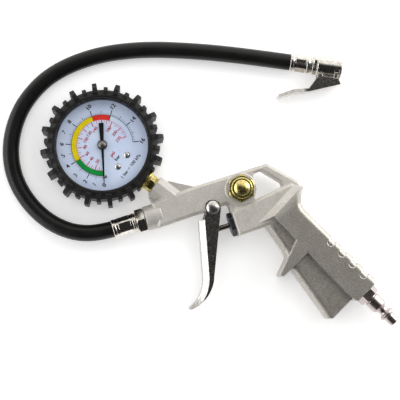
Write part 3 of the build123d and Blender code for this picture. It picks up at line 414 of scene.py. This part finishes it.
def gun_piece(name, mesh, finish):
    """Visible piece that rides on the gun, from a finished mesh."""
    bmesh.ops.recalc_face_normals(mesh, faces=mesh.faces)
    data = bpy.data.meshes.new(name)
    mesh.to_mesh(data)
    mesh.free()
    data.materials.append(finish)
    piece = bpy.data.objects.new(name, data)
    bpy.context.collection.objects.link(piece)
    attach(piece, "gun")
    return piece


# ---------------------------------------------------------------- coil springs
WIRE_STEPS = 28  # rings in each turn of a coil
WIRE_SIDES = 10
VALVE_SPRING_END = (52.55, -15.5, 0.0)  # fixed end, behind the poppet, gun frame
BLEED_SPRING_END = (23.4, 6.6, 7.65)  # fixed end, inside the brass nut


def add_spring(node, fixed, way, radius, wire, length, turns):
    """Coil from its fixed end along the given way."""
    fixed = Vector(fixed)
    way = Vector(way)
    across = way.orthogonal().normalized()
    other = way.cross(across)
    slope = math.atan2(length / turns, math.tau * radius)
    mesh = bmesh.new()
    rings = []
    for step in range(turns * WIRE_STEPS + 1):
        turn = math.tau * step / WIRE_STEPS
        outward = across * math.cos(turn) + other * math.sin(turn)
        forward = other * math.cos(turn) - across * math.sin(turn)
        upward = way * math.cos(slope) - forward * math.sin(slope)
        middle = fixed + way * (length * step / (turns * WIRE_STEPS)) + outward * radius
        ring = []
        for side in range(WIRE_SIDES):
            lean = math.tau * side / WIRE_SIDES
            place = middle + (outward * math.cos(lean) + upward * math.sin(lean)) * wire
            ring.append(mesh.verts.new(at(*place)))
        rings.append(ring)
    for first, second in zip(rings, rings[1:]):
        for side in range(WIRE_SIDES):
            after = (side + 1) % WIRE_SIDES
            mesh.faces.new((first[side], first[after], second[after], second[side]))
    mesh.faces.new(rings[0][::-1])
    mesh.faces.new(rings[-1])
    spring = gun_piece(node + "_coil", mesh, finishes["spring_steel"])
    spring.data.polygons.foreach_set("use_smooth", [True] * len(spring.data.polygons))
    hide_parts(node)
    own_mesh(spring)


add_spring(
    "valve_spring", VALVE_SPRING_END, (-1, 0, 0), radius=3.5, wire=0.45, length=17.0, turns=7,
)
add_spring(
    "bleed_spring", BLEED_SPRING_END, (0, 0, 1), radius=3.2, wire=0.35, length=5.5, turns=4,
)


# ---------------------------------------------------------------- printing on the dial
DIAL_TOP = 8.82  # just above the dial plate, gun frame
INK_THICK = 0.05
DIAL_TURN = 35.0  # the dial's own right-hand direction in the gun frame, degrees
BAR_MARKS = [0, 2, 4, 6, 8, 10, 12, 14, 16]
BAR_ANGLES = [220.3, 192.7, 159.5, 125.9, 91.6, 57.0, 22.1, -12.7, -46.4]
PSI_PER_BAR = 14.504
BAR_STEP = 0.2  # between two black ticks
PSI_STEP = 5  # between two red ticks
PSI_END = 220
BAND_IN = 18.4  # radii of the coloured bands
BAND_OUT = 21.8
BLACK_TICKS = [(10, 26.0, 0.62), (5, 24.6, 0.34), (1, 23.5, 0.24)]  # every how many, outer end, width
RED_TICKS = [(4, 14.6, 0.62), (2, 15.9, 0.36), (1, 16.8, 0.24)]  # every how many, inner end, width
LABELS_BLACK = [0, 1, 2, 3, 4, 5, 6, 7, 8, 10, 12, 14, 16]
LABELS_RED = [20, 40, 60, 80, 100, 120, 140, 180, 200, 220]
LABEL_R_BLACK = 28.6
LABEL_R_RED = 12.2


def scale_angle(bar):
    """Direction of a pressure on the dial, in the dial's own degrees."""
    for low, high, start, end in zip(BAR_MARKS, BAR_MARKS[1:], BAR_ANGLES, BAR_ANGLES[1:]):
        if bar <= high:
            return start + (end - start) * (bar - low) / (high - low)
    return BAR_ANGLES[-1]


def on_dial(x, y, z=0.0):
    """Point in metres from millimetres in the dial's own frame."""
    turn = math.radians(DIAL_TURN)
    across = x * math.cos(turn) - y * math.sin(turn)
    up = x * math.sin(turn) + y * math.cos(turn)
    return GAUGE + Vector((across, up, DIAL_TOP + z)) * MM


def add_plate(mesh, corners):
    """Thin flat plate with a top and sides, from corners in the dial's frame."""
    low = [mesh.verts.new(on_dial(x, y)) for x, y in corners]
    high = [mesh.verts.new(on_dial(x, y, INK_THICK)) for x, y in corners]
    mesh.faces.new(high)
    mesh.faces.new(low[::-1])
    for index in range(len(corners)):
        after = (index + 1) % len(corners)
        mesh.faces.new((low[index], low[after], high[after], high[index]))


def add_tick(mesh, angle, inner, outer, width):
    """Radial bar."""
    turn = math.radians(angle)
    along = Vector((math.cos(turn), math.sin(turn)))
    across = Vector((-along.y, along.x)) * (width / 2)
    add_plate(mesh, [tuple(along * inner - across), tuple(along * outer - across),
                     tuple(along * outer + across), tuple(along * inner + across)])


def add_arc(mesh, inner, outer, first_bar, last_bar):
    """Ring sector between two pressures, in steps of a few degrees."""
    start, end = scale_angle(first_bar), scale_angle(last_bar)
    steps = max(2, int(abs(end - start) / 3))
    for index in range(steps):
        a = math.radians(start + (end - start) * (index + 1) / steps)
        b = math.radians(start + (end - start) * index / steps)
        add_plate(mesh, [
            (radius * math.cos(turn), radius * math.sin(turn))
            for radius, turn in ((inner, b), (outer, b), (outer, a), (inner, a))
        ])


def add_text(mesh, words, x, y, size, heavy=0.0):
    """Raised letters centred on a point, upright on the dial, drawn twice a little apart if heavy."""
    if heavy:
        add_text(mesh, words, x - heavy, y, size)
        x += heavy
    curve = bpy.data.curves.new("letters", "FONT")
    curve.body = words
    curve.size = size
    curve.extrude = INK_THICK / 2
    curve.resolution_u = 3
    curve.align_x = "CENTER"
    curve.align_y = "CENTER"
    letters = bpy.data.objects.new("letters", curve)
    bpy.context.collection.objects.link(letters)
    flat = bpy.data.meshes.new_from_object(letters)
    place = on_dial(x, y, INK_THICK / 2)
    turn = Matrix.Rotation(math.radians(DIAL_TURN), 4, "Z")
    flat.transform(Matrix.Translation(place) @ turn @ Matrix.Scale(MM, 4))
    mesh.from_mesh(flat)
    bpy.data.objects.remove(letters)
    bpy.data.curves.remove(curve)
    bpy.data.meshes.remove(flat)


def add_ticks(mesh, pressures, base, kinds):
    """Ticks from a common radius, each of the first kind whose interval it falls on."""
    for index, bar in enumerate(pressures):
        reach, width = next((end, wide) for every, end, wide in kinds if index % every == 0)
        add_tick(mesh, scale_angle(bar), min(base, reach), max(base, reach), width)


def add_label(mesh, number, bar, radius, size, heavy):
    """Number that marks a pressure, centred at a radius of the dial."""
    turn = math.radians(scale_angle(bar))
    add_text(mesh, str(number), radius * math.cos(turn), radius * math.sin(turn), size, heavy)


def print_black_scale(ink):
    """Bar scale outside the coloured bands, its numbers, and the two lines of lettering."""
    mesh = bmesh.new()
    add_arc(mesh, BAND_OUT + 0.02, BAND_OUT + 0.30, 0, BAR_MARKS[-1])
    add_ticks(mesh, [index * BAR_STEP for index in range(81)], BAND_OUT + 0.1, BLACK_TICKS)
    for bar in (4, 10, 12):  # where one coloured band meets the next
        add_tick(mesh, scale_angle(bar), BAND_IN, BAND_OUT + 0.1, 0.45)
    for label in LABELS_BLACK:
        add_label(mesh, label, label, LABEL_R_BLACK, 4.3, heavy=0.16 if label % 2 == 0 else 0.07)
    add_text(mesh, "bar", -0.7, -14.0, 3.5, 0.10)
    add_text(mesh, "1 bar = 100 kPa", 0.2, -25.2, 3.3, 0.07)
    gun_piece("dial_print_black", mesh, ink)


def print_red_scale(ink):
    """Psi scale inside the coloured bands, its numbers and its unit."""
    mesh = bmesh.new()
    add_arc(mesh, BAND_IN - 0.25, BAND_IN - 0.05, 0, PSI_END / PSI_PER_BAR)
    pressures = [psi / PSI_PER_BAR for psi in range(0, PSI_END + PSI_STEP, PSI_STEP)]
    add_ticks(mesh, pressures, BAND_IN - 0.1, RED_TICKS)
    for label in LABELS_RED:
        add_label(mesh, label, label / PSI_PER_BAR, LABEL_R_RED, 3.1, heavy=0.10)
    add_text(mesh, "psi", -0.6, -9.6, 3.7, 0.12)
    gun_piece("dial_print_red", mesh, ink)


def print_band(name, first_bar, last_bar, ink):
    """Coloured band between two pressures."""
    mesh = bmesh.new()
    add_arc(mesh, BAND_IN, BAND_OUT, first_bar, last_bar)
    gun_piece(name, mesh, ink)


print_black_scale(print_ink("ink_black", (0.012, 0.012, 0.020)))
print_red_scale(print_ink("ink_red", (0.62, 0.045, 0.085)))
print_band("dial_band_green", 0, 4, print_ink("ink_green", (0.0, 0.30, 0.045)))
print_band("dial_band_yellow", 4, 10, print_ink("ink_yellow", (0.86, 0.68, 0.0)))
print_band("dial_band_red", 10, 12, print_ink("ink_scarlet", (0.80, 0.035, 0.025)))


# ---------------------------------------------------------------- floor and light
FLOOR_HALF = 3.0
FLOOR_DROP = 0.0002  # keeps the floor clear of the faces that rest on it
LIT_WAY = PHOTO_UP * 0.88 + PHOTO_RIGHT * 0.30 - Vector((0, 0, 0.24))  # towards the bright side of the studio
SIDE_LIGHTS = [  # name, along the picture's right and up from the trigger pivot, height, size, watts
    ("soft_left", -0.98, -0.05, 0.42, (1.4, 0.5), 6.5),
    ("soft_right", 0.85, 0.45, 0.40, (0.5, 0.8), 4.0),
]


def add_floor():
    """Plain white floor, a little self-lit so that shadows on it stay pale."""
    mesh = bpy.data.meshes.new("floor")
    corners = [(x * FLOOR_HALF, y * FLOOR_HALF, 0) for x, y in ((-1, -1), (1, -1), (1, 1), (-1, 1))]
    mesh.from_pydata(corners, [], [(0, 1, 2, 3)])
    floor = bpy.data.objects.new("floor", mesh)
    floor.location.z = -FLOOR_DROP
    bpy.context.collection.objects.link(floor)
    s = Shader("floor_white")
    s.colour(s.ramp(s.noise(300.0), [(0.3, (0.90, 0.90, 0.91)), (0.7, (0.93, 0.93, 0.93))]))
    s.set(Roughness=0.55, Emission_Color=(1.0, 1.0, 1.0, 1.0), Emission_Strength=0.30)
    mesh.materials.append(s.material)


def add_area(name, place, aim, size, power):
    """Rectangular light at a place, turned towards its aim."""
    data = bpy.data.lights.new(name, "AREA")
    data.shape = "RECTANGLE"
    data.size, data.size_y = size
    data.energy = power
    light = bpy.data.objects.new(name, data)
    light.location = place
    light.rotation_euler = (Vector(aim) - Vector(place)).to_track_quat("-Z", "Y").to_euler()
    bpy.context.collection.objects.link(light)
    return light


def sky_ramp(nodes, links, source, stops, tint):
    """Tinted grey of the studio, from (position, grey) stops."""
    node = nodes.new("ShaderNodeValToRGB")
    for element, (position, grey) in zip(node.color_ramp.elements, stops):
        element.position = position
        element.color = (grey * tint[0], grey * tint[1], grey * tint[2], 1)
    links.new(source, node.inputs["Fac"])
    return node.outputs["Color"]


def add_world():
    """Dim overhead, bright towards the picture's top, with a light strip along the horizon."""
    world = bpy.data.worlds.new("studio")
    bpy.context.scene.world = world
    world.use_nodes = True
    nodes = world.node_tree.nodes
    links = world.node_tree.links
    background = nodes["Background"]
    direction = nodes.new("ShaderNodeTexCoord").outputs["Generated"]
    towards = nodes.new("ShaderNodeVectorMath")
    towards.operation = "DOT_PRODUCT"
    links.new(direction, towards.inputs[0])
    towards.inputs[1].default_value = LIT_WAY
    side = sky_ramp(nodes, links, towards.outputs["Value"], [(0.06, 0.022), (0.36, 1.30)], (1.0, 0.985, 0.95))
    split = nodes.new("ShaderNodeSeparateXYZ")
    links.new(direction, split.inputs[0])
    strip = sky_ramp(nodes, links, split.outputs["Z"], [(0.05, 0.85), (0.26, 0.0)], (1.0, 1.0, 1.0))
    both = nodes.new("ShaderNodeMix")
    both.data_type = "RGBA"
    both.blend_type = "ADD"
    both.inputs["Factor"].default_value = 1.0
    colours = [socket for socket in both.inputs if socket.enabled and socket.name in ("A", "B")]
    links.new(side, colours[0])
    links.new(strip, colours[1])
    links.new([socket for socket in both.outputs if socket.enabled][0], background.inputs["Color"])
    background.inputs["Strength"].default_value = 0.9


add_floor()
add_world()
overhead = add_area("soft_overhead", (0.0, 0.0, 1.6), (0, 0, 0), (2.6, 2.6), 23.0)
overhead.visible_glossy = False
overhead.visible_camera = False
for name, along_right, along_up, height, size, power in SIDE_LIGHTS:
    place = PIVOT + PHOTO_RIGHT * along_right + PHOTO_UP * along_up
    add_area(name, (place.x, place.y, height), PIVOT, size, power)
bpy.context.scene.view_settings.view_transform = "Standard"
